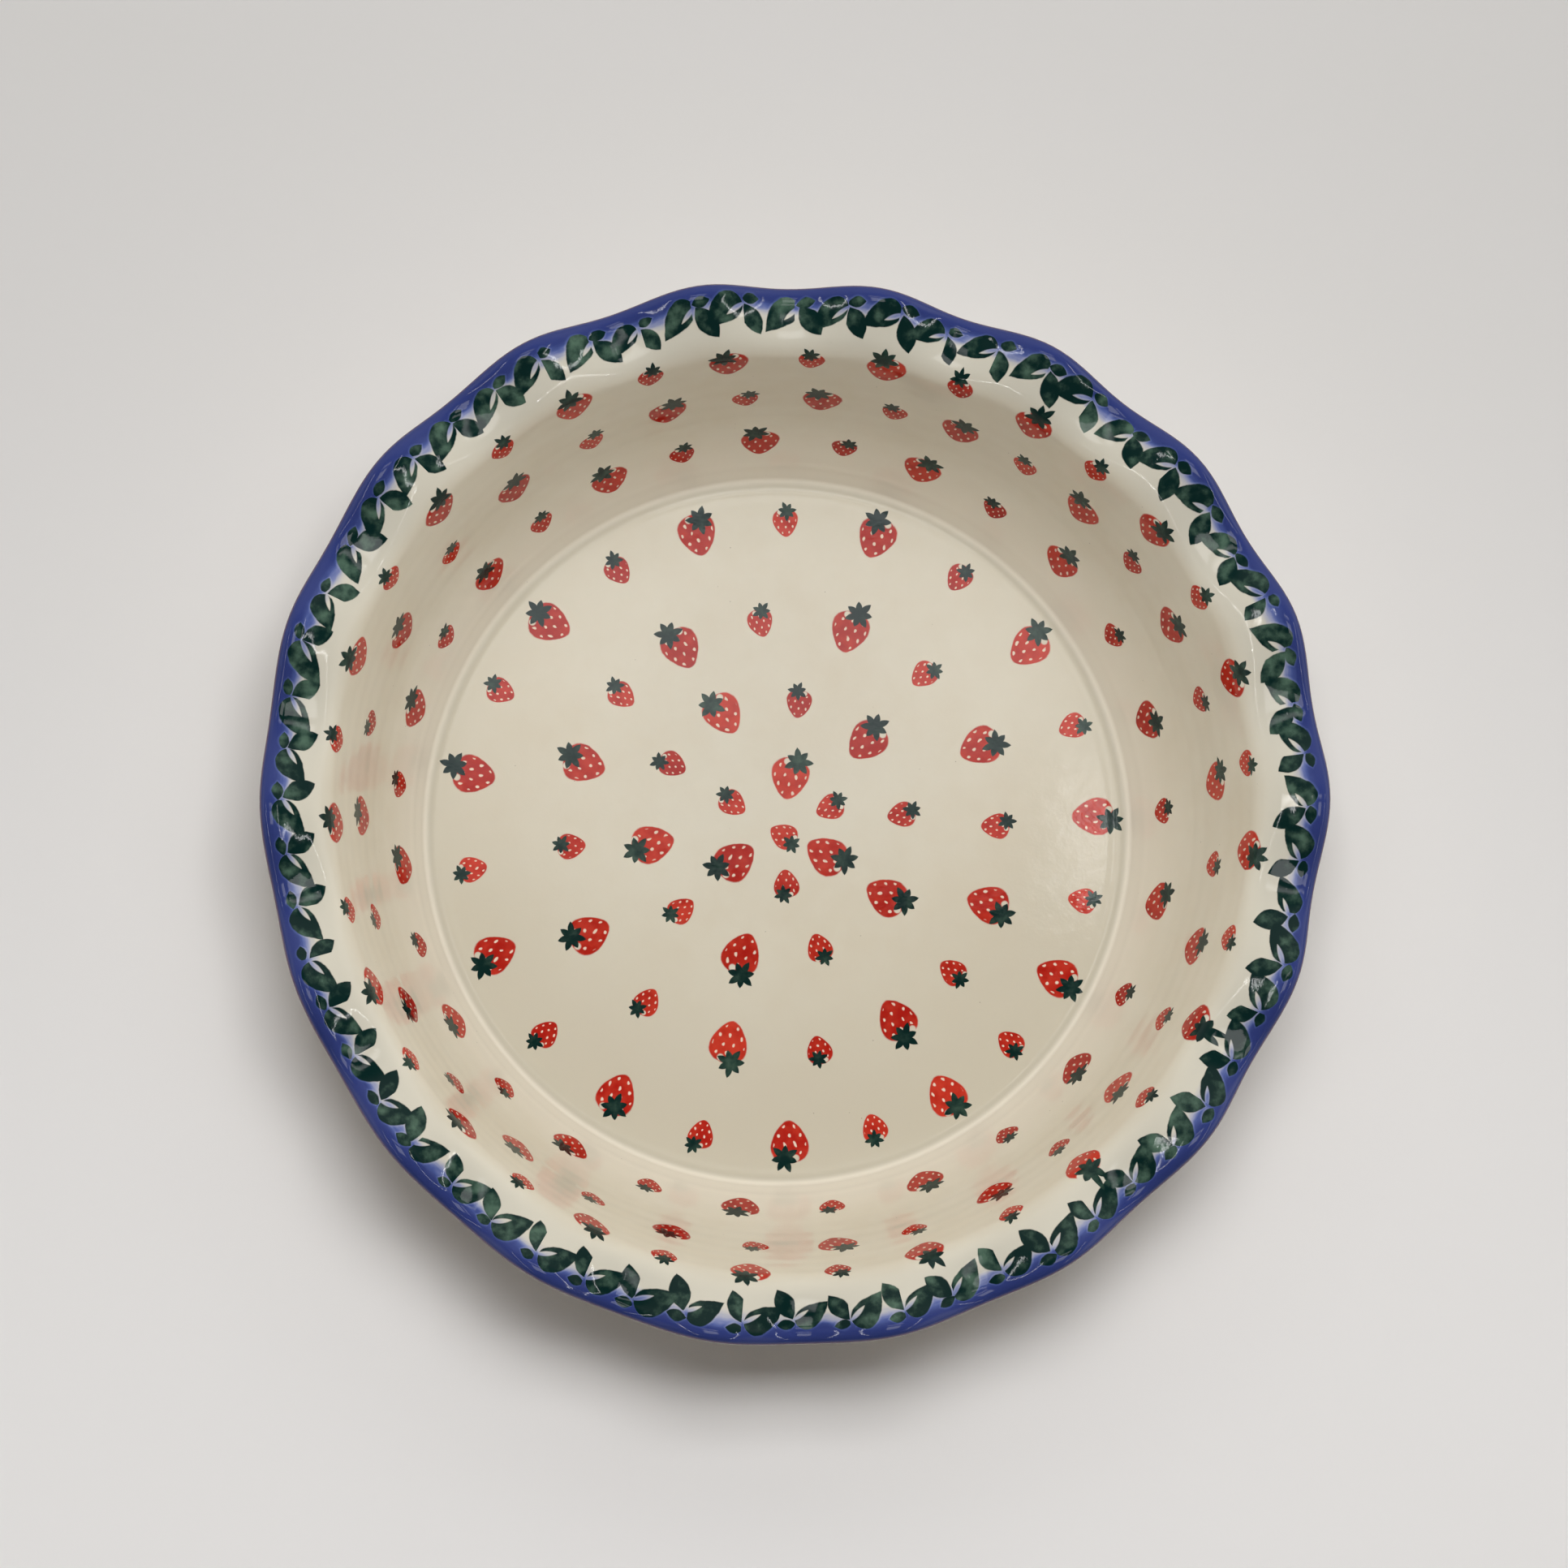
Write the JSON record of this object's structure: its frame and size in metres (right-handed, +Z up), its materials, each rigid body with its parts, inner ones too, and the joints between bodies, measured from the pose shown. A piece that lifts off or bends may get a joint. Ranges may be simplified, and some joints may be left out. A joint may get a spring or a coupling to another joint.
{
  "type": "ceramic bowl",
  "caption": "Deep round stoneware bowl with a leaning wall, a flared wavy lip and a bare foot ring, glazed over stamped berries and a leaf garland, for serving and baking.",
  "frame": {"origin": "centre of the circle that the foot ring stands on", "axes": "+Z up along the bowl's axis, +X to the right and +Y away from the viewer of the picture"},
  "size_m": [0.2704, 0.269, 0.091],
  "materials": {
    "clay": "fired stoneware, hidden under the glaze",
    "bare_foot": "bare fired stoneware, dry and fine-grained",
    "inside_glaze": "glossy cream glaze over stamped red berries and green leaves",
    "rim_glaze": "glossy glaze over sponged cobalt blue",
    "outside_glaze": "glossy cream glaze over stamped red berries",
    "foot_well_glaze": "glossy plain cream glaze"
  },
  "bodies": {
    "root": {"clay_body": "clay", "foot_ring": "bare_foot", "inside_glaze": "inside_glaze", "rim_glaze": "rim_glaze", "outside_glaze": "outside_glaze", "foot_well_glaze": "foot_well_glaze"}
  },
  "joints": []
}
